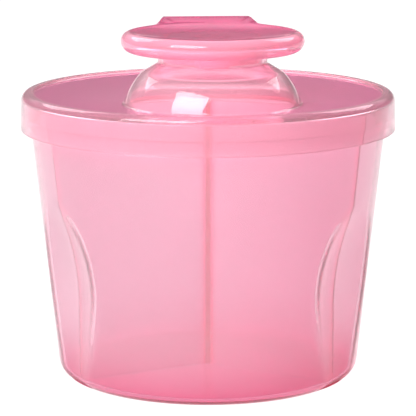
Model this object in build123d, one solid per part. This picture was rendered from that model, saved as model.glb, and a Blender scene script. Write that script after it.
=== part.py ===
from build123d import *
import os
from math import acos, atan2, cos, hypot, radians, sin, sqrt, tan

# Three-compartment formula dispenser: a tapered tub with three flutes, a three-way divider
# that drops into it, a turning lid with a domed pouring spout, and a plug cap on the spout.
# Millimetres, +Z up. The origin is the centre of the base, on the surface it stands on.
# The spout points to -Y, the front, apart from a small turn of the lid.

# Tub
tub_height = 84.9
tub_base_radius = 45.7  # cone carried down to the floor plane, before rounding
tub_draft = 6.06  # degrees from vertical
tub_wall = 1.8
tub_floor = 1.8
base_rounding = 5.0
rim_band_height = 4.9  # thicker band that the lid slips over
rim_band_step = 0.8  # how far the band stands out from the cone at its lower edge
rim_edge_fillet = 0.5

# Flutes, one where each divider wall ends
wall_count = 3
first_wall_angle = 90.0  # direction of the back wall, from +X
flute_foot_depth = 0.65  # of the valley, below the cone carried down to the floor plane
flute_hollow_radius = 70.0  # how hollow a flute is across
flute_straight_height = 26.0  # above this the valley curves outward
flute_runout_radius = 70.0
flute_runout_angle = 40.0
flute_cutter_depth = 14.0

# Divider
divider_wall = 1.5
divider_post_radius = 1.4
divider_side_gap = 0.5  # to the tub's inside
divider_floor_gap = 0.05
divider_top_gap = 0.4  # to the underside of the lid

# Lid
lid_turn = 4.8  # degrees, how far the spout stands from the middle of its compartment
lid_fit = 0.1  # radial, over the rim band
lid_seat_gap = 0.1  # above the tub's rim
lid_plate = 1.5
lid_rim_rise = 0.8  # the rim stands this far above the plate
lid_rim_width = 3.6
lid_rim_outer_fillet = 2.4
lid_rim_inner_fillet = 0.35
skirt_wall = 1.55  # at its top
skirt_depth = 9.1  # below the underside of the plate
skirt_flare = 0.4  # the skirt grows by this towards its lower edge
skirt_edge_fillet = 0.45

# Spout dome and neck, on the lid
dome_front_gap = 4.75  # from the foot of the dome to the rim of the lid
dome_base_radius = 26.2
dome_swell_inset = 1.95  # how far the swell stands in from the foot
dome_shoulder_inset = 5.3
dome_swell_height = 4.6  # above the plate
dome_shoulder_height = 9.1
neck_base_height = 12.0
neck_radius = 16.1
neck_top_height = 18.0
dome_wall = 1.5
neck_corner_fillet = 0.6

# Cap
cap_radius = 26.95
cap_roll_radius = 2.7  # upper rounding of its rolled rim
cap_under_radius = 3.1  # lower rounding of its rolled rim
cap_lip_width = 0.8  # flat under the rim
cap_lip_fillet = 0.3
cap_rim_wall = 2.5  # from the widest line of the rim to the hollow under it
cap_wall = 1.7
cap_plate_gap = 0.15  # above the neck
cap_dish_depth = 1.3
cap_dish_flat = 8.0  # radius of the flat middle of the dish
cap_crest_fillet = 0.8
plug_fit = 0.1  # radial, in the neck
plug_wall = 1.3
plug_length = 5.6  # below the plate of the cap
plug_lead_fillet = 0.5
boss_radius = 5.2
boss_wall = 1.4
boss_length = 8.1
tab_width = 27.0
tab_reach = 6.0  # behind the disc
tab_rise = 1.2  # above the rim of the cap
tab_thickness = 2.6
tab_edge_length = 2.0  # straight part of its sides, at the back
tab_flank_radius = 40.0  # hollow flank that meets the disc without a corner
tab_corner_fillet = 1.2
tab_edge_fillet = 0.8

# Worked out from the sizes above
draft_slope = tan(radians(tub_draft))
wall_angles = [first_wall_angle + 360.0 / wall_count * i for i in range(wall_count)]
plate_bottom = tub_height + lid_seat_gap
plate_top = plate_bottom + lid_plate
rim_top = plate_top + lid_rim_rise
rim_band_bottom = tub_height - rim_band_height
rim_band_radius = tub_base_radius + draft_slope * rim_band_bottom + rim_band_step
flute_valley_radius = tub_base_radius - flute_foot_depth
lid_inner_radius = rim_band_radius + lid_fit
lid_outer_radius = lid_inner_radius + skirt_wall
lid_rim_inner_radius = lid_outer_radius - lid_rim_width
dome_offset = lid_rim_inner_radius - dome_front_gap - dome_base_radius  # from the tub's axis
dome_swell_radius = dome_base_radius - dome_swell_inset
dome_shoulder_radius = dome_base_radius - dome_shoulder_inset
neck_top = plate_top + neck_top_height
neck_bore_radius = neck_radius - dome_wall
cap_crest_radius = cap_radius - cap_roll_radius
cap_plate_bottom = neck_top + cap_plate_gap
cap_plate_top = cap_plate_bottom + cap_wall
cap_rim_top = cap_plate_top + cap_dish_depth
cap_waist = cap_rim_top - cap_roll_radius  # height of its widest line
cap_bottom = cap_waist - cap_under_radius


def cone_radius(z, inset=0.0):
    """Radius of the tub's outside at a height, less a wall measured across the cone."""
    return tub_base_radius + draft_slope * z - inset / cos(radians(tub_draft))


def revolved(section, axis=Axis.Z):
    """A full turn of a section drawn on the XZ plane."""
    return revolve(section, axis=axis, revolution_arc=360)


def round_corner(section, radius, height, size):
    """Round the corner of an open section that stands nearest to a radius and a height."""
    corner = section.vertices().sort_by_distance(Vector(radius, height, 0))[0]
    fillet(corner, size)


def cone_solid(bottom, top, inset, rounding):
    """The tub's outside or inside as a solid cone with a rounded foot."""
    foot = cone_radius(bottom, inset)
    head = cone_radius(top, inset)
    with BuildSketch(Plane.XZ) as section:
        with BuildLine():
            Polyline((0, bottom), (foot, bottom), (head, top), (0, top), close=True)
        make_face()
        round_corner(section, foot, bottom, rounding)
    return revolved(section.sketch)


def flute_cutter(inset):
    """What one flute takes away on the +X side, moved in by a wall for the tub's inside."""
    valley = flute_valley_radius - inset
    hollow = flute_hollow_radius + inset
    depth = flute_cutter_depth + inset
    half_width = sqrt(hollow**2 - (hollow - depth) ** 2)
    with BuildSketch(Plane.XY.offset(flute_straight_height)) as section:
        with BuildLine():
            ThreePointArc((valley + depth, -half_width), (valley, 0), (valley + depth, half_width))
            Line((valley + depth, half_width), (valley + depth, -half_width))
        make_face()
    straight = extrude(section.sketch, amount=-(flute_straight_height + base_rounding))
    pivot = Axis((flute_valley_radius + flute_runout_radius, 0, flute_straight_height), (0, 1, 0))
    runout = revolve(section.sketch, axis=pivot, revolution_arc=flute_runout_angle)
    return straight + runout


def fluted(body, inset):
    """A cone with the flutes cut at the divider walls' angles."""
    cutter = flute_cutter(inset)
    for angle in wall_angles:
        body -= Rot(0, 0, angle) * cutter
    return body


def tub():
    """Tapered fluted tub with a thicker band at its rim."""
    outside = fluted(cone_solid(0, tub_height, 0, base_rounding), 0)
    inside = fluted(
        cone_solid(tub_floor, tub_height + 1, tub_wall, base_rounding - tub_wall), tub_wall
    )
    with BuildSketch(Plane.XZ) as band_section:
        with BuildLine():
            Polyline(
                (cone_radius(rim_band_bottom, tub_wall / 2), rim_band_bottom),
                (rim_band_radius, rim_band_bottom),
                (rim_band_radius, tub_height),
                (cone_radius(tub_height, tub_wall / 2), tub_height),
                close=True,
            )
        make_face()
    body = outside + revolved(band_section.sketch) - inside
    top_edges = body.edges().filter_by_position(Axis.Z, tub_height - 0.01, tub_height + 0.01)
    return fillet(top_edges, rim_edge_fillet)


def divider_insert():
    """Three walls on a centre post, their outer edges following the tub's inside."""
    bottom = tub_floor + divider_floor_gap
    top = plate_bottom - divider_top_gap
    inset = tub_wall + divider_side_gap
    envelope = fluted(cone_solid(bottom, top, inset, base_rounding - tub_wall), inset)
    height = top - bottom
    reach = cone_radius(top)
    blade = Pos(reach / 2, 0, bottom + height / 2) * Box(reach, divider_wall, height)
    body = Pos(0, 0, bottom + height / 2) * Cylinder(divider_post_radius, height)
    for angle in wall_angles:
        body += Rot(0, 0, angle) * blade
    return body & envelope


def lid_shell():
    """Plate, raised rim and skirt."""
    skirt_bottom = plate_bottom - skirt_depth
    inner_fillet = min(lid_rim_inner_fillet, 0.45 * lid_rim_rise)
    with BuildSketch(Plane.XZ) as section:
        with BuildLine():
            Polyline(
                (0, plate_bottom),
                (lid_inner_radius, plate_bottom),
                (lid_inner_radius, plate_bottom - rim_band_height),
                (lid_inner_radius + skirt_flare, skirt_bottom),
                (lid_outer_radius + skirt_flare, skirt_bottom),
                (lid_outer_radius, rim_top),
                (lid_rim_inner_radius, rim_top),
                (lid_rim_inner_radius, plate_top),
                (0, plate_top),
                close=True,
            )
        make_face()
        roundings = [
            ((lid_outer_radius, rim_top), lid_rim_outer_fillet),
            ((lid_rim_inner_radius, rim_top), inner_fillet),
            ((lid_rim_inner_radius, plate_top), inner_fillet),
            ((lid_outer_radius + skirt_flare, skirt_bottom), skirt_edge_fillet),
            ((lid_inner_radius + skirt_flare, skirt_bottom), skirt_edge_fillet),
        ]
        for (radius, height), size in roundings:
            round_corner(section, radius, height, size)
    return revolved(section.sketch)


def dome_solid(inset, bottom, top):
    """Spout dome and neck as a solid about Z, its wall moved in by inset."""
    shoulder_drop = inset * 0.6
    with BuildSketch(Plane.XZ) as section:
        with BuildLine():
            Line((0, bottom), (dome_base_radius - inset, bottom))
            Line((dome_base_radius - inset, bottom), (dome_base_radius - inset, plate_top))
            ThreePointArc(
                (dome_base_radius - inset, plate_top),
                (dome_swell_radius - inset, plate_top + dome_swell_height),
                (dome_shoulder_radius - inset, plate_top + dome_shoulder_height - shoulder_drop),
            )
            Polyline(
                (dome_shoulder_radius - inset, plate_top + dome_shoulder_height - shoulder_drop),
                (neck_radius - inset, plate_top + neck_base_height - shoulder_drop),
                (neck_radius - inset, top),
                (0, top),
                (0, bottom),
            )
        make_face()
        neck_foot = plate_top + neck_base_height - shoulder_drop
        round_corner(section, neck_radius - inset, neck_foot, neck_corner_fillet)
    return revolved(section.sketch)


def lid():
    """Lid with its dome open to the compartment below and a neck to pour from."""
    place = Rot(0, 0, lid_turn) * Pos(0, -dome_offset, 0)
    outer = place * dome_solid(0, plate_bottom, neck_top)
    hollow = place * dome_solid(dome_wall, plate_bottom - 1, neck_top + 1)
    return lid_shell() + outer - hollow


def cap_disc():
    """Dished disc with a rolled rim, a plug ring and a hollow boss, about Z."""
    under_radius = cap_radius - cap_under_radius
    lip_radius = under_radius - cap_lip_width
    plug_radius = neck_bore_radius - plug_fit
    plug_bottom = cap_plate_bottom - plug_length
    boss_bottom = cap_plate_bottom - boss_length
    dish_run = cap_crest_radius - cap_dish_flat
    dish_curve = (dish_run**2 + cap_dish_depth**2) / (2 * cap_dish_depth)
    dish_middle = dish_curve - sqrt(dish_curve**2 - (dish_run / 2) ** 2)
    with BuildSketch(Plane.XZ) as section:
        with BuildLine():
            Line((0, cap_plate_top), (cap_dish_flat, cap_plate_top))
            ThreePointArc(
                (cap_dish_flat, cap_plate_top),
                (cap_dish_flat + dish_run / 2, cap_plate_top + dish_middle),
                (cap_crest_radius, cap_rim_top),
            )
            RadiusArc((cap_crest_radius, cap_rim_top), (cap_radius, cap_waist), cap_roll_radius)
            RadiusArc((cap_radius, cap_waist), (under_radius, cap_bottom), cap_under_radius)
            Polyline(
                (under_radius, cap_bottom),
                (lip_radius, cap_bottom),
                (cap_radius - cap_rim_wall, cap_plate_bottom),
                (plug_radius, cap_plate_bottom),
                (plug_radius, plug_bottom),
                (plug_radius - plug_wall, plug_bottom),
                (plug_radius - plug_wall, cap_plate_bottom),
                (boss_radius, cap_plate_bottom),
                (boss_radius, boss_bottom),
                (boss_radius - boss_wall, boss_bottom),
                (boss_radius - boss_wall, cap_plate_bottom),
                (0, cap_plate_bottom),
                (0, cap_plate_top),
            )
        make_face()
        round_corner(section, lip_radius, cap_bottom, cap_lip_fillet)
        round_corner(section, cap_crest_radius, cap_rim_top, cap_crest_fillet)
        round_corner(section, plug_radius, plug_bottom, plug_lead_fillet)
    return revolved(section.sketch)


def thumb_tab():
    """Tab that rises behind the disc to be pushed up, its hollow flanks running into the disc."""
    back = cap_radius + tab_reach
    half = tab_width / 2
    tip = back - tab_edge_length
    flank_centre = cap_radius + tab_flank_radius
    corner = hypot(half, tip)
    spread = acos((flank_centre**2 + corner**2 - tab_flank_radius**2) / (2 * flank_centre * corner))
    root_angle = atan2(half, tip) + spread
    root_x = cap_radius * sin(root_angle)
    root_y = cap_radius * cos(root_angle)
    inner_x = cap_crest_radius * sin(root_angle)
    inner_y = cap_crest_radius * cos(root_angle)
    with BuildSketch(Plane.XY.offset(cap_bottom)) as plan:
        with BuildLine():
            Polyline((half, tip), (half, back), (-half, back), (-half, tip))
            RadiusArc((-half, tip), (-root_x, root_y), tab_flank_radius)
            Polyline((-root_x, root_y), (-inner_x, inner_y), (inner_x, inner_y), (root_x, root_y))
            RadiusArc((root_x, root_y), (half, tip), tab_flank_radius)
        make_face()
        for side in (-1, 1):
            round_corner(plan, side * half, back, tab_corner_fillet)
    with BuildSketch(Plane.YZ) as profile:
        with BuildLine():
            Polyline(
                (inner_y, cap_rim_top - tab_thickness),
                (inner_y, cap_rim_top),
                (cap_crest_radius, cap_rim_top),
                (back, cap_rim_top + tab_rise),
                (back, cap_rim_top + tab_rise - tab_thickness),
                (cap_crest_radius, cap_rim_top - tab_thickness),
                close=True,
            )
        make_face()
        for lip in (cap_rim_top + tab_rise, cap_rim_top + tab_rise - tab_thickness):
            round_corner(profile, back, lip, tab_edge_fillet)
    outline = extrude(plan.sketch, amount=2 * (cap_rim_top - cap_bottom))
    slab = extrude(profile.sketch, amount=cap_radius, both=True)
    dish = Pos(0, 0, cap_plate_top) * Cylinder(
        cap_crest_radius, 2 * cap_dish_depth, align=(Align.CENTER, Align.CENTER, Align.MIN)
    )
    return (outline & slab) - dish


def spout_cap():
    """Mushroom cap with a plug ring for the neck and a thumb tab at its back."""
    body = cap_disc() + thumb_tab()
    return Rot(0, 0, lid_turn) * Pos(0, -dome_offset, 0) * body


if __name__ == "__main__":
    os.makedirs("parts", exist_ok=True)
    pieces = {
        "tub": tub(),
        "divider_insert": divider_insert(),
        "lid": lid(),
        "spout_cap": spout_cap(),
    }
    for name, piece in pieces.items():
        export_step(piece, f"parts/{name}.step")
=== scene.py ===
import math
import bmesh
import bpy
from mathutils import Matrix, Vector


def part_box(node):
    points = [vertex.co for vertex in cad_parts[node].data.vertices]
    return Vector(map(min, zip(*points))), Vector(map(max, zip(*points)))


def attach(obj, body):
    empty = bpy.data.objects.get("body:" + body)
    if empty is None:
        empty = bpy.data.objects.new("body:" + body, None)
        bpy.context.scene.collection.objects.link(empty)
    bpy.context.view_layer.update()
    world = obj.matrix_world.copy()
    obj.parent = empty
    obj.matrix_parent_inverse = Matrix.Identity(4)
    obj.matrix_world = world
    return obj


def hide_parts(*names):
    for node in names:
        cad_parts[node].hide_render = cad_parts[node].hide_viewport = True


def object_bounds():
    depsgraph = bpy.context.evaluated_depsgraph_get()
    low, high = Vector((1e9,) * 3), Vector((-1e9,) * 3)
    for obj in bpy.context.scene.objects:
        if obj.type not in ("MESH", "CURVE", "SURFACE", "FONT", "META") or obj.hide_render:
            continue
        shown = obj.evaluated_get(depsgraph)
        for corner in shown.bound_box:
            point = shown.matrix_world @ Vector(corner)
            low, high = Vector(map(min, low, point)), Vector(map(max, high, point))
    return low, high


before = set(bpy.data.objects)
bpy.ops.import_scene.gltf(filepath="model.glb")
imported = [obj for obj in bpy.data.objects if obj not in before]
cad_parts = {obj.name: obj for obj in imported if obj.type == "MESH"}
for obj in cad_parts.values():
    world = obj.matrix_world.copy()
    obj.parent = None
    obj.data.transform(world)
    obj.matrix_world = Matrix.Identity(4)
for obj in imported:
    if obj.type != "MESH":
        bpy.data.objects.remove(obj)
cadLow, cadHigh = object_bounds()
print("frame loaded:", ", ".join(sorted(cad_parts)))

mm = 0.001
tubLow, tubHigh = (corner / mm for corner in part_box("tub"))
lidLow, lidHigh = (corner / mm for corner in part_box("lid"))
capLow, capHigh = (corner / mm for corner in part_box("spout_cap"))
dividerLow, dividerHigh = (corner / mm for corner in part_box("divider_insert"))

# The spout stands where the cap does: the disc is the widest thing across it
spoutX = (capLow.x + capHigh.x) / 2
spoutY = capLow.y + (capHigh.x - capLow.x) / 2
spoutTurn = math.atan2(spoutX, -spoutY)


# outlines, as (radius, height) in millimetres

def roundedOutline(corners, spacing=None, arcSteps=7):
    # a corner is (radius, height) or (radius, height, fillet); long runs are divided by spacing
    points = []
    for i, corner in enumerate(corners):
        here = Vector(corner[:2])
        fillet = corner[2] if len(corner) > 2 else 0
        if not fillet or i in (0, len(corners) - 1):
            points.append(here)
            continue
        before = (Vector(corners[i - 1][:2]) - here).normalized()
        after = (Vector(corners[i + 1][:2]) - here).normalized()
        halfAngle = before.angle(after) / 2
        centre = here + (before + after).normalized() * fillet / math.sin(halfAngle)
        start = here + before * fillet / math.tan(halfAngle) - centre
        end = here + after * fillet / math.tan(halfAngle) - centre
        sweep = start.angle(end)
        for k in range(arcSteps + 1):
            t = k / arcSteps
            a, b = math.sin((1 - t) * sweep), math.sin(t * sweep)
            points.append(centre + (start * a + end * b) / math.sin(sweep))
    if not spacing:
        return points
    divided = [points[0]]
    for a, b in zip(points, points[1:]):
        pieces = max(1, math.ceil((b - a).length / spacing))
        divided += [a.lerp(b, (k + 1) / pieces) for k in range(pieces)]
    return divided


def arcThrough(a, b, c, steps):
    # points on the circle through three points, from a to c
    (ax, ay), (bx, by), (cx, cy) = a, b, c
    d = 2 * (ax * (by - cy) + bx * (cy - ay) + cx * (ay - by))
    aa, bb, cc = ax * ax + ay * ay, bx * bx + by * by, cx * cx + cy * cy
    centre = Vector(((aa * (by - cy) + bb * (cy - ay) + cc * (ay - by)) / d,
                     (aa * (cx - bx) + bb * (ax - cx) + cc * (bx - ax)) / d))
    start, end = Vector(a) - centre, Vector(c) - centre
    sweep = start.angle(end)
    return [centre + (start * math.sin((1 - k / steps) * sweep) + end * math.sin(k / steps * sweep))
            / math.sin(sweep) for k in range(steps + 1)]


# meshes

sharpAngle = 35


def spun(bm, outline, centre=(0, 0), steps=240):
    # turns an outline once about an upright axis, and closes it where it meets the axis
    verts = [bm.verts.new((centre[0] + p[0], centre[1], p[1])) for p in outline]
    edges = [bm.edges.new(pair) for pair in zip(verts, verts[1:])]
    before = set(bm.verts)
    bmesh.ops.spin(bm, geom=verts + edges, cent=(centre[0], centre[1], 0), axis=(0, 0, 1),
                   angle=math.tau, steps=steps, use_merge=True)
    made = set(verts) | (set(bm.verts) - before)
    poles = [v for v in made if math.hypot(v.co.x - centre[0], v.co.y - centre[1]) < 1e-4]
    bmesh.ops.remove_doubles(bm, verts=poles, dist=1e-3)


def ringAt(bm, centre, radius, height):
    # the open edges of one ring
    near = 0.02
    return [e for e in bm.edges if len(e.link_faces) == 1 and all(
        abs(math.hypot(v.co.x - centre[0], v.co.y - centre[1]) - radius) < near
        and abs(v.co.z - height) < near for v in e.verts)]


def finished(bm, name, body, node, material):
    bmesh.ops.recalc_face_normals(bm, faces=bm.faces)
    bmesh.ops.scale(bm, vec=(mm, mm, mm), verts=bm.verts)
    for face in bm.faces:
        face.smooth = True
    mesh = bpy.data.meshes.new(name)
    bm.to_mesh(mesh)
    bm.free()
    mesh.set_sharp_from_angle(angle=math.radians(sharpAngle))
    piece = bpy.data.objects.new(name, mesh)
    bpy.context.scene.collection.objects.link(piece)
    mesh.materials.append(material)
    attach(piece, body)
    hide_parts(node)
    print(f"{name}: {sum(len(p.vertices) - 2 for p in mesh.polygons)} triangles")


def softMin(a, b, blend):
    h = max(blend - abs(a - b), 0) / blend
    return min(a, b) - h * h * blend / 4


# the tub, and the hollow that its flutes leave for the divider

tubSizes = {
    "baseRadius": 45.7, "draft": 6.06, "wall": 1.8, "floor": 1.8, "rounding": 5.0,
    "bandHeight": 4.9, "bandRadius": tubHigh.x, "bandFillet": 0.3, "rimFillet": 0.6,
    "valleyRadius": 45.05, "hollowRadius": 70.0, "straightHeight": 26.0, "runoutRadius": 70.0,
    "fluteAngles": (90, 210, 330), "fluteHalfAngle": 32, "edgeSoftness": 0.9, "paintedShadeFoot": 22.0,
    "plainCentre": 20, "spacing": 1.3, "arcSteps": 8, "steps": 320,
}


def coneRadius(z, inset=0.0):
    slope = math.radians(tubSizes["draft"])
    return tubSizes["baseRadius"] + math.tan(slope) * z - inset / math.cos(slope)


def fluteRadius(offAngle, z, inset=0.0):
    # distance from the axis to the flute's surface, in a direction offAngle from its middle
    s = tubSizes
    rise = min(max(z - s["straightHeight"], 0), s["runoutRadius"] * 0.9)
    runout = s["runoutRadius"] + inset
    valley = s["valleyRadius"] - inset + runout - math.sqrt(runout**2 - rise**2)
    hollow = s["hollowRadius"] + inset
    reach = valley + hollow
    across = hollow**2 - (reach * math.sin(offAngle)) ** 2
    if across <= 0:
        return 1e3
    return reach * math.cos(offAngle) - math.sqrt(across)


def flutedRadius(radius, angle, z, inset=0.0):
    for middle in tubSizes["fluteAngles"]:
        off = (angle - math.radians(middle) + math.pi) % math.tau - math.pi
        if abs(off) < math.radians(tubSizes["fluteHalfAngle"]):
            radius = softMin(radius, fluteRadius(off, z, inset), tubSizes["edgeSoftness"])
    return radius


def makeTub(material):
    s = tubSizes
    bandBottom = tubHigh.z - s["bandHeight"]
    corners = [
        (0, 0), (coneRadius(0), 0, s["rounding"]),
        (coneRadius(bandBottom), bandBottom, s["bandFillet"]),
        (s["bandRadius"], bandBottom, s["bandFillet"]),
        (s["bandRadius"], tubHigh.z, s["rimFillet"]),
        (coneRadius(tubHigh.z, s["wall"]), tubHigh.z, s["rimFillet"]),
        (coneRadius(s["floor"], s["wall"]), s["floor"], s["rounding"] - s["wall"]),
        (0, s["floor"]),
    ]
    bm = bmesh.new()
    outline = roundedOutline(corners, spacing=s["spacing"], arcSteps=s["arcSteps"])
    spun(bm, outline, steps=s["steps"])
    for v in bm.verts:
        radius, angle = math.hypot(v.co.x, v.co.y), math.atan2(v.co.y, v.co.x)
        if radius < s["plainCentre"]:
            continue
        inside = v.co.z > s["floor"] / 2 and radius < coneRadius(v.co.z, s["wall"] / 2)
        inset = s["wall"] if inside else 0
        new = flutedRadius(radius, angle, v.co.z, inset)
        v.co.x *= new / radius
        v.co.y *= new / radius
    # painted shade: the tint darkens towards the bottom, standing in for light lost through floor
    # and wall together
    paintedShade = bm.verts.layers.float.new("paintedShade")
    for v in bm.verts:
        low = min(max(1 - v.co.z / s["paintedShadeFoot"], 0), 1)
        v[paintedShade] = low * low
    finished(bm, "tubShell", "tub", "tub", material)


# the divider, whose walls end in the flutes

dividerSizes = {
    "wall": 1.5, "junctionFillet": 3.4, "sideGap": 0.5, "endFillet": 0.35, "edgeFillet": 0.15,
    "rows": 56, "rowSpread": 1.25, "hubSteps": 8, "drawnReach": 40.0,
    "paintedShadeEdge": 0.9, "paintedShadeEnd": 0.6, "paintedShadePost": 2.6, "paintedShadeFade": 0.4,
}


def dividerReach(z):
    inset = tubSizes["wall"] + dividerSizes["sideGap"]
    rounding = tubSizes["rounding"] - tubSizes["wall"]
    reach = min(coneRadius(z, inset), fluteRadius(0, z, inset))
    low = dividerLow.z + rounding
    corner = coneRadius(dividerLow.z, inset) - rounding
    if z < low:
        reach = min(reach, corner + math.sqrt(max(rounding**2 - (low - z) ** 2, 0)))
    return reach


def makeDivider(material):
    s = dividerSizes
    half, fillet, full = s["wall"] / 2, s["junctionFillet"], s["drawnReach"]
    side = (half + fillet) / math.tan(math.radians(60))
    # near and far add points close to the post and the ends, where the painted shade begins
    near, far = side + s["paintedShadeEdge"], full - s["paintedShadeEdge"]
    arm = roundedOutline([(side, -half), (near, -half), (far, -half), (full, -half, s["endFillet"]),
                          (full, half, s["endFillet"]), (far, half), (near, half), (side, half)],
                         arcSteps=4)
    bm = bmesh.new()
    ring = []
    for middle in tubSizes["fluteAngles"]:
        turn = Matrix.Rotation(math.radians(middle), 2)
        ring += [turn @ p for p in arm]
        hub = turn @ Vector((side, half + fillet))
        for k in range(1, s["hubSteps"]):
            swing = math.radians(-90 - 60 * k / s["hubSteps"])
            spoke = turn @ Vector((math.cos(swing), math.sin(swing)))
            ring.append(hub + spoke * fillet)
    tall = dividerHigh.z - dividerLow.z
    heights = [dividerLow.z + tall * (k / s["rows"]) ** s["rowSpread"]
               for k in range(s["rows"] + 1)]
    verts = [bm.verts.new((p.x, p.y, heights[0])) for p in ring]
    edges = [bm.edges.new((a, b)) for a, b in zip(verts, verts[1:] + verts[:1])]
    for z in heights[1:]:
        made = bmesh.ops.extrude_edge_only(bm, edges=edges)["geom"]
        edges = [g for g in made if isinstance(g, bmesh.types.BMEdge)]
        for v in (g for g in made if isinstance(g, bmesh.types.BMVert)):
            v.co.z = z
    # painted shade on the post and the arms' ends, where the walls are seen edge-on through a long
    # path of plastic
    paintedShade = bm.verts.layers.float.new("paintedShade")
    for v in bm.verts:
        inward = s["paintedShadePost"] - math.hypot(v.co.x, v.co.y)
        v[paintedShade] = min(max(inward / s["paintedShadeFade"], 0), 1)
        for middle in tubSizes["fluteAngles"]:
            along = Vector((math.cos(math.radians(middle)), math.sin(math.radians(middle)), 0))
            if v.co.dot(along) > full / 2:
                v[paintedShade] = float(v.co.dot(along) > full - s["paintedShadeEnd"])
                v.co += along * (dividerReach(v.co.z) - full)
    rims = [e for e in bm.edges if len(e.link_faces) == 1]
    bmesh.ops.holes_fill(bm, edges=rims, sides=0)
    bmesh.ops.recalc_face_normals(bm, faces=bm.faces)
    bmesh.ops.bevel(bm, geom=rims, offset=s["edgeFillet"], affect="EDGES", segments=2,
                    profile=0.5, material=-1, clamp_overlap=True)
    ends = [f for f in bm.faces if len(f.verts) > 4]
    bmesh.ops.triangulate(bm, faces=ends, quad_method="BEAUTY", ngon_method="EAR_CLIP")
    finished(bm, "dividerWalls", "divider", "divider_insert", material)


# the lid: rim and skirt about the tub's axis, dome and neck about the spout's

lidSizes = {
    "plate": 1.5, "rimRise": 0.8, "rimWidth": 3.6, "rimOuterFillet": 2.4, "rimInnerFillet": 0.35,
    "skirtWall": 1.55, "skirtFlare": 0.4, "skirtStraight": 4.9, "skirtFillet": 0.45,
    "skirtRootFillet": 0.4, "skirtBendFillet": 3.0, "joinRadius": 50.6, "joinMargin": 0.5,
    "paintedShadeMargin": 0.2, "spacing": 2.0, "domeSpacing": 1.0, "arcSteps": 8, "steps": 288,
    "domeBase": 26.2, "domeSwell": 24.25, "domeShoulder": 20.9, "swellHeight": 4.6,
    "shoulderHeight": 9.1, "neckBase": 12.0, "neckRadius": 16.1, "neckHeight": 18.0,
    "domeWall": 1.5, "innerDrop": 0.6, "domeSteps": 22,
    "footFillet": 0.5, "neckFillet": 0.6, "lipFillet": 0.5,
}
plateTop = lidHigh.z - lidSizes["neckHeight"]
plateBottom = plateTop - lidSizes["plate"]
spout = (spoutX, spoutY)


def domeOutline(inset):
    # from the plate up to the neck
    s = lidSizes
    drop = inset * s["innerDrop"]
    base, swell = s["domeBase"] - inset, s["domeSwell"] - inset
    shoulder, neck = s["domeShoulder"] - inset, s["neckRadius"] - inset
    arc = arcThrough((base, plateTop), (swell, plateTop + s["swellHeight"]),
                     (shoulder, plateTop + s["shoulderHeight"] - drop), s["domeSteps"])
    corners = [tuple(arc[-1]), (neck, plateTop + s["neckBase"] - drop, s["neckFillet"])]
    return arc, corners, neck


def makeLid(material):
    s = lidSizes
    outerRadius = lidHigh.x - s["skirtFlare"]
    innerRadius = outerRadius - s["skirtWall"]
    rimTop, rimInner = plateTop + s["rimRise"], outerRadius - s["rimWidth"]
    rim = [
        (s["joinRadius"], plateBottom), (innerRadius, plateBottom, s["skirtRootFillet"]),
        (innerRadius, plateBottom - s["skirtStraight"], s["skirtBendFillet"]),
        (innerRadius + s["skirtFlare"], lidLow.z, s["skirtFillet"]),
        (outerRadius + s["skirtFlare"], lidLow.z, s["skirtFillet"]),
        (outerRadius, rimTop, s["rimOuterFillet"]), (rimInner, rimTop, s["rimInnerFillet"]),
        (rimInner, plateTop, s["rimInnerFillet"]), (s["joinRadius"], plateTop),
    ]
    bm = bmesh.new()
    rimOutline = roundedOutline(rim, spacing=s["spacing"], arcSteps=s["arcSteps"])
    spun(bm, rimOutline, steps=s["steps"])
    outer, outerCorners, neck = domeOutline(0)
    inner, innerCorners, bore = domeOutline(s["domeWall"])
    up = roundedOutline(outerCorners + [(neck, lidHigh.z, s["lipFillet"]),
                                        (bore, lidHigh.z, s["lipFillet"])]
                        + innerCorners[::-1], spacing=s["domeSpacing"])
    # a flat ring beside the dome's foot, above and below, keeps the shading off the plate
    foot = s["footFillet"]
    flat = s["domeBase"] + foot + s["joinMargin"]
    hole = s["domeBase"] - s["domeWall"]
    flatBelow = hole + s["joinMargin"]
    outline = [Vector((flat, plateTop)), Vector((s["domeBase"] + foot, plateTop)),
               Vector((s["domeBase"] + foot * 0.6, plateTop + foot * 0.1)),
               Vector((s["domeBase"] + foot * 0.25, plateTop + foot * 0.35))]
    outline += outer[1:-1] + up + inner[::-1][1:]
    outline += [Vector((hole, plateBottom)), Vector((flatBelow, plateBottom))]
    spun(bm, outline, centre=spout, steps=s["steps"])
    pairs = [
        (ringAt(bm, (0, 0), s["joinRadius"], plateTop),
         ringAt(bm, spout, flat, plateTop)),
        (ringAt(bm, (0, 0), s["joinRadius"], plateBottom),
         ringAt(bm, spout, flatBelow, plateBottom)),
    ]
    for outside, inside in pairs:
        bmesh.ops.bridge_loops(bm, edges=outside + inside)
    # painted shade on the plate between the dome and the rim: darker for the dim surroundings it
    # mirrors at a low angle and the long path through it
    paintedShade = bm.verts.layers.float.new("paintedShade")
    plateEdge = rimInner - s["paintedShadeMargin"]
    for v in bm.verts:
        onPlate = plateBottom - 0.05 < v.co.z < plateTop + 0.05
        clear = math.hypot(v.co.x - spoutX, v.co.y - spoutY) > s["domeBase"]
        v[paintedShade] = float(onPlate and clear and math.hypot(v.co.x, v.co.y) < plateEdge)
    finished(bm, "lidShell", "lid", "lid", material)


# the cap: a disc whose rolled rim is drawn out behind into the thumb tab

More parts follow.
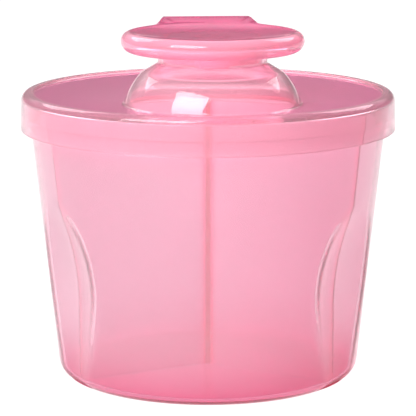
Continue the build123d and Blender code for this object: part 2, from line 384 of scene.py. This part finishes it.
capSizes = {
    "radius": (capHigh.x - capLow.x) / 2, "roll": 2.7, "under": 3.1, "lipWidth": 0.8,
    "lipFillet": 0.3, "rimWall": 2.5, "wall": 1.7, "neckGap": 0.15, "dishDepth": 1.3,
    "dishFlat": 8.0, "plugRadius": 14.5, "plugWall": 1.3, "plugLength": 5.6,
    "bossRadius": 5.2, "bossWall": 1.4, "bossLength": 8.1,
    "tabHalf": 13.5, "tabReach": 6.0, "tabRise": 1.2, "tabThickness": 2.6, "tabFlank": 40.0,
    "tabEdge": 2.0, "tabEdgeFillet": 0.8, "tabBlend": 0.6, "tabEdgeSteps": 6,
    "recessFillet": 0.6, "plugRootFillet": 0.3, "plugTipFillet": 0.5, "innerFillet": 0.4,
    "paintedShadeTab": 0.95, "paintedShadeDish": 0.8, "tabRoot": 8.0,
    "flatSteps": 4, "dishSteps": 14, "rollSteps": 18, "underSteps": 8, "spacing": 1.6,
    "steps": 400,
}


def tabRadius(angle):
    # the plan outline in a direction angle from straight back
    s = capSizes
    back, half = s["radius"] + s["tabReach"], s["tabHalf"]
    tip = back - s["tabEdge"]
    far, corner = s["radius"] + s["tabFlank"], math.hypot(half, tip)
    start = math.atan2(half, tip)
    root = start + math.acos((far**2 + corner**2 - s["tabFlank"] ** 2) / (2 * far * corner))
    angle = abs(angle)
    if angle >= root:
        return s["radius"]
    if angle <= start:
        side = half / max(math.sin(angle), 1e-6)
    else:
        along = far * math.cos(root - angle)
        side = along - math.sqrt(max(s["tabFlank"] ** 2 - far**2 + along**2, 0))
    return max(softMin(back / math.cos(angle), side, s["tabBlend"]), s["radius"])


def makeCap(material):
    s = capSizes
    plateLow = lidHigh.z + s["neckGap"]
    plateHigh = plateLow + s["wall"]
    rimTop = plateHigh + s["dishDepth"]
    crest, waist = s["radius"] - s["roll"], rimTop - s["roll"]
    under, bottom = s["radius"] - s["under"], waist - s["under"]
    plug, boss = s["plugRadius"], s["bossRadius"]
    back, lift = s["radius"] + s["tabReach"], rimTop + s["tabRise"]
    dishRun = crest - s["dishFlat"]
    dishCurve = (dishRun**2 + s["dishDepth"] ** 2) / (2 * s["dishDepth"])
    rollSteps, underSteps, dishSteps = s["rollSteps"], s["underSteps"], s["dishSteps"]
    top = [Vector((s["dishFlat"] * k / s["flatSteps"], plateHigh)) for k in range(s["flatSteps"])]
    for k in range(dishSteps + 1):
        out = dishRun * k / dishSteps
        top.append(Vector((s["dishFlat"] + out,
                           plateHigh + dishCurve - math.sqrt(dishCurve**2 - out**2))))
    quarter = math.pi / 2
    plain = [Vector((crest + s["roll"] * math.sin(quarter * k / rollSteps),
                     waist + s["roll"] * math.cos(quarter * k / rollSteps)))
             for k in range(1, rollSteps + 1)]
    rolled = [Vector((under + s["under"] * math.cos(quarter * k / rollSteps),
                      waist - s["under"] * math.sin(quarter * k / rollSteps)))
              for k in range(1, rollSteps + 1)]
    plain += rolled[:underSteps]
    # the tab's own section: along its top, round its edge and back under it
    fillet, edgeSteps = s["tabEdgeFillet"], s["tabEdgeSteps"]
    edge = roundedOutline([(crest, rimTop), (back, lift, fillet),
                           (back, lift - s["tabThickness"], fillet),
                           (plain[-1].x, plain[-1].y)], arcSteps=edgeSteps)
    runSteps = rollSteps - edgeSteps
    run = [edge[0].lerp(edge[1], (k / runSteps) ** 0.8) for k in range(1, runSteps)]
    drawn = run + edge[1:-1]
    left = len(plain) - len(drawn)
    drawn += [edge[-2].lerp(edge[-1], (k + 1) / left) for k in range(left)]
    plugTip, bossTip = plateLow - s["plugLength"], plateLow - s["bossLength"]
    plugBore, bossBore, inner = plug - s["plugWall"], boss - s["bossWall"], s["innerFillet"]
    low = roundedOutline([
        (under - s["lipWidth"] / 2, bottom), (under - s["lipWidth"], bottom, s["lipFillet"]),
        (s["radius"] - s["rimWall"], plateLow, s["recessFillet"]),
        (plug, plateLow, s["plugRootFillet"]), (plug, plugTip, s["plugTipFillet"]),
        (plugBore, plugTip, inner), (plugBore, plateLow, inner), (boss, plateLow, inner),
        (boss, bossTip, inner), (bossBore, bossTip, inner), (bossBore, plateLow, inner),
        (0, plateLow)], spacing=s["spacing"])
    bm = bmesh.new()
    outline = top + plain + rolled[underSteps:] + low
    # each ring of the rolled rim goes to its place on the tab as the plan outline is drawn out
    shift = {}
    for own, pulled in zip(plain, drawn):
        shift[(round(own.x, 3), round(own.y, 3))] = pulled - own
    spun(bm, outline, steps=s["steps"])
    for v in bm.verts:
        radius = math.hypot(v.co.x, v.co.y)
        move = shift.get((round(radius, 3), round(v.co.z, 3)))
        if move is None:
            continue
        pull = (tabRadius(math.atan2(v.co.x, v.co.y)) - s["radius"]) / s["tabReach"]
        if pull <= 0:
            continue
        grown = radius + move.x * pull
        v.co.x *= grown / radius
        v.co.y *= grown / radius
        v.co.z += move.y * min(pull, 1)
    # painted shade on the dish and the tab, laid darker than the rolled side as on the lid's plate
    paintedShade = bm.verts.layers.float.new("paintedShade")
    for v in bm.verts:
        onDish = math.hypot(v.co.x, v.co.y) < crest and v.co.z > plateHigh - 0.01
        high = v.co.z > rimTop - 0.05
        onTab = v.co.y > s["radius"] + 0.5 or (v.co.y > crest - s["tabRoot"] and high)
        v[paintedShade] = s["paintedShadeTab"] if onTab else s["paintedShadeDish"] if onDish else 0.0
    turn = Matrix.Rotation(spoutTurn, 3, "Z")
    bmesh.ops.rotate(bm, verts=bm.verts, cent=(0, 0, 0), matrix=turn)
    bmesh.ops.translate(bm, verts=bm.verts, vec=(spoutX, spoutY, 0))
    finished(bm, "capMoulding", "cap", "spout_cap", material)


# materials

class Wire:
    # a socket that adds Math nodes when it stands in an expression; in node, an input is given
    # by its name, or by i and its number
    def __init__(self, tree, socket):
        self.tree, self.socket = tree, socket

    def node(self, kind, settings=None, **inputs):
        made = self.tree.nodes.new(kind)
        for key, value in (settings or {}).items():
            setattr(made, key, value)
        for key, value in inputs.items():
            numbered = key[0] == "i" and key[1:].isdigit()
            socket = made.inputs[int(key[1:]) if numbered else key.replace("_", " ")]
            if isinstance(value, Wire):
                self.tree.links.new(value.socket, socket)
            else:
                socket.default_value = value
        return made

    def maths(self, operation, a, b):
        made = self.node("ShaderNodeMath", {"operation": operation}, i0=a, i1=b)
        return Wire(self.tree, made.outputs[0])

    def __add__(self, other):
        return self.maths("ADD", self, other)

    def __radd__(self, other):
        return self.maths("ADD", other, self)

    def __mul__(self, other):
        return self.maths("MULTIPLY", self, other)

    def __rmul__(self, other):
        return self.maths("MULTIPLY", other, self)


plasticLook = {
    "ior": 1.38, "roughness": 0.04, "roughnessSpread": 0.06,
    "mottleScale": 40.0, "mottleDetail": 3.0, "grainScale": 900.0, "grainDetail": 2.0,
    "grainDepth": 0.00002, "grainStrength": 0.3, "passing": (1.0, 0.88, 0.92),
}


def tintedPlastic(name, look):
    # look: clear is how much light goes through, body and mottle are the ends of its unevenness,
    # level is a painted shade, the darker tint on the places marked deep, standing in for the
    # darkening by long paths through the plastic and by dim surroundings mirrored in its flat
    # faces, and soaked is what a metre of the plastic takes out of red, green and blue
    shared = plasticLook
    material = bpy.data.materials.new(name)
    material.use_nodes = True
    tree = material.node_tree
    tree.nodes.clear()
    start = Wire(tree, None)
    place = start.node("ShaderNodeTexCoord")
    spot = Wire(tree, place.outputs["Object"])
    cloud = start.node("ShaderNodeTexNoise", Vector=spot, Scale=shared["mottleScale"],
                       Detail=shared["mottleDetail"])
    grain = start.node("ShaderNodeTexNoise", Vector=spot, Scale=shared["grainScale"],
                       Detail=shared["grainDetail"])
    mottle = Wire(tree, cloud.outputs["Fac"])
    tint = start.node("ShaderNodeMix", {"data_type": "RGBA"}, i0=mottle, i6=(*look["body"], 1),
                      i7=(*look["mottle"], 1))
    # painted shade: the deep mark turns the tint towards the level colour
    paintedShadeTint = start.node("ShaderNodeAttribute", {"attribute_name": "paintedShade"})
    tint = start.node("ShaderNodeMix", {"data_type": "RGBA"}, i0=Wire(tree, paintedShadeTint.outputs["Fac"]),
                      i6=Wire(tree, tint.outputs[2]), i7=(*look["paintedShadeTint"], 1))
    bump = start.node("ShaderNodeBump", Strength=shared["grainStrength"],
                      Distance=shared["grainDepth"], Height=Wire(tree, grain.outputs["Fac"]))
    surface = start.node(
        "ShaderNodeBsdfPrincipled", Base_Color=Wire(tree, tint.outputs[2]),
        Roughness=mottle * shared["roughnessSpread"] + shared["roughness"], IOR=shared["ior"],
        Transmission_Weight=look["clear"], Normal=Wire(tree, bump.outputs["Normal"]))
    through = start.node("ShaderNodeBsdfTransparent", Color=(*shared["passing"], 1))
    path = start.node("ShaderNodeLightPath")
    mixed = start.node("ShaderNodeMixShader", i0=Wire(tree, path.outputs["Is Shadow Ray"]),
                       i1=Wire(tree, surface.outputs[0]), i2=Wire(tree, through.outputs[0]))
    most = max(look["soaked"])
    inside = start.node("ShaderNodeVolumeAbsorption", Density=most,
                        Color=(*(1 - part / most for part in look["soaked"]), 1))
    out = start.node("ShaderNodeOutputMaterial")
    tree.links.new(mixed.outputs[0], out.inputs["Surface"])
    tree.links.new(inside.outputs[0], out.inputs["Volume"])
    return material


# level is the painted shade colour laid on the places marked deep
tubLook = {"clear": 0.85, "body": (0.82, 0.755, 0.795), "mottle": (0.81, 0.725, 0.77),
           "paintedShadeTint": (0.72, 0.27, 0.43), "soaked": (9.0, 90.0, 66.0)}
dividerLook = {"clear": 0.85, "body": (0.84, 0.745, 0.795), "mottle": (0.83, 0.715, 0.775),
               "paintedShadeTint": (1.0, 0.47, 0.62), "soaked": (14.0, 160.0, 96.0)}
lidLook = {"clear": 0.9, "body": (0.90, 0.68, 0.745), "mottle": (0.89, 0.655, 0.725),
           "paintedShadeTint": (0.88, 0.385, 0.62), "soaked": (3.0, 34.0, 26.0)}
capLook = {"clear": 0.75, "body": (0.92, 0.57, 0.68), "mottle": (0.91, 0.53, 0.65),
           "paintedShadeTint": (0.50, 0.02, 0.20), "soaked": (3.0, 34.0, 26.0)}

makeTub(tintedPlastic("tubTint", tubLook))
makeDivider(tintedPlastic("dividerTint", dividerLook))
makeLid(tintedPlastic("lidTint", lidLook))
makeCap(tintedPlastic("capTint", capLook))


# floor, light and camera

studio = {
    "floorSize": 8.0, "floorDrop": 0.0002, "floorColour": (0.12, 0.12, 0.12),
    "floorGlow": 0.97, "floorRoughness": 0.9,
    "backdropGlow": 0.62, "backdropFrom": (0.35, 0.8), "backdropAbove": (0.24, 0.34),
    "airStops": ((0.0, 0.9), (0.03, 0.5), (0.08, 0.22), (0.5, 0.22), (0.8, 1.0), (1.0, 1.2)),
}


def makeFloor():
    bm = bmesh.new()
    bmesh.ops.create_grid(bm, x_segments=8, y_segments=8, size=studio["floorSize"] / 2)
    bmesh.ops.translate(bm, verts=bm.verts, vec=(0, 0, -studio["floorDrop"]))
    mesh = bpy.data.meshes.new("studioFloor")
    bm.to_mesh(mesh)
    bm.free()
    floor = bpy.data.objects.new("studioFloor", mesh)
    bpy.context.scene.collection.objects.link(floor)
    material = bpy.data.materials.new("paleSweep")
    material.use_nodes = True
    shader = material.node_tree.nodes["Principled BSDF"]
    shader.inputs["Base Color"].default_value = (*studio["floorColour"], 1)
    shader.inputs["Roughness"].default_value = studio["floorRoughness"]
    shader.inputs["Specular IOR Level"].default_value = 0.0
    shader.inputs["Emission Color"].default_value = (1, 1, 1, 1)
    shader.inputs["Emission Strength"].default_value = studio["floorGlow"]
    mesh.materials.append(material)


def makeAir():
    # dim above the floor's edge, so that the level faces stay deep, bright overhead and behind
    # the object, and white to the camera
    world = bpy.data.worlds.new("studioAir")
    world.use_nodes = True
    tree = world.node_tree
    start = Wire(tree, None)
    place = start.node("ShaderNodeTexCoord")
    parts = start.node("ShaderNodeSeparateXYZ", Vector=Wire(tree, place.outputs["Generated"]))
    ramp = start.node("ShaderNodeValToRGB", Fac=Wire(tree, parts.outputs["Z"]))
    stops = studio["airStops"]
    while len(ramp.color_ramp.elements) < len(stops):
        ramp.color_ramp.elements.new(0.5)
    for element, (height, bright) in zip(ramp.color_ramp.elements, stops):
        element.position = height
        element.color = (bright, bright, bright, 1)
    (dark, full), (low, high) = studio["backdropFrom"], studio["backdropAbove"]
    behind = start.node("ShaderNodeMapRange", Value=Wire(tree, parts.outputs["Y"]),
                        i1=dark, i2=full, i3=0.0, i4=1.0)
    raised = start.node("ShaderNodeMapRange", Value=Wire(tree, parts.outputs["Z"]),
                        i1=low, i2=high, i3=0.0, i4=studio["backdropGlow"])
    backdrop = Wire(tree, behind.outputs[0]) * Wire(tree, raised.outputs[0])
    path = start.node("ShaderNodeLightPath")
    lit = start.node("ShaderNodeMix", {"data_type": "RGBA"}, i0=backdrop,
                     i6=Wire(tree, ramp.outputs[0]), i7=(1, 1, 1, 1))
    shown = start.node("ShaderNodeMix", {"data_type": "RGBA"},
                       i0=Wire(tree, path.outputs["Is Camera Ray"]),
                       i6=Wire(tree, lit.outputs[2]), i7=(1, 1, 1, 1))
    tree.links.new(shown.outputs[2], tree.nodes["Background"].inputs["Color"])
    bpy.context.scene.world = world


# rectangular lamps that look at the middle of the object
softboxes = {
    "keyBox": {"azimuth": -34, "elevation": 42, "size": (0.62, 0.45), "power": 12.0},
    "rimBoxLeft": {"azimuth": -136, "elevation": 40, "size": (0.5, 0.35), "power": 2.0},
    "rimBoxRight": {"azimuth": 136, "elevation": 40, "size": (0.5, 0.35), "power": 2.0},
}
lampDistance = 0.9


def makeSoftbox(name, box):
    aim = (cadLow + cadHigh) / 2
    a, e = math.radians(box["azimuth"]), math.radians(box["elevation"])
    out = Vector((math.sin(a) * math.cos(e), -math.cos(a) * math.cos(e), math.sin(e)))
    lamp = bpy.data.lights.new(name, "AREA")
    lamp.shape, lamp.energy = "RECTANGLE", box["power"]
    lamp.size, lamp.size_y = box["size"]
    holder = bpy.data.objects.new(name, lamp)
    holder.location = aim + out * lampDistance
    holder.rotation_mode = "QUATERNION"
    holder.rotation_quaternion = out.to_track_quat("Z", "Y")
    bpy.context.scene.collection.objects.link(holder)


makeFloor()
makeAir()
for boxName, box in softboxes.items():
    makeSoftbox(boxName, box)
print("studio ready")

cameraSizes = {
    "back": 665.6, "height": 179.5, "pitch": 10.95, "azimuth": 1.3,
    "lens": 190.98, "sensor": 36.0, "clip": (0.01, 50.0),
}
camera = bpy.data.cameras.new("productCamera")
camera.lens, camera.sensor_width = cameraSizes["lens"], cameraSizes["sensor"]
camera.clip_start, camera.clip_end = cameraSizes["clip"]
viewer = bpy.data.objects.new("productCamera", camera)
swing = math.radians(cameraSizes["azimuth"])
viewer.location = Vector((math.sin(swing) * cameraSizes["back"],
                          -math.cos(swing) * cameraSizes["back"], cameraSizes["height"])) * mm
viewer.rotation_euler = (math.radians(90 - cameraSizes["pitch"]), 0, swing)
bpy.context.scene.collection.objects.link(viewer)
bpy.context.scene.camera = viewer
bpy.context.scene.view_settings.view_transform = "Standard"
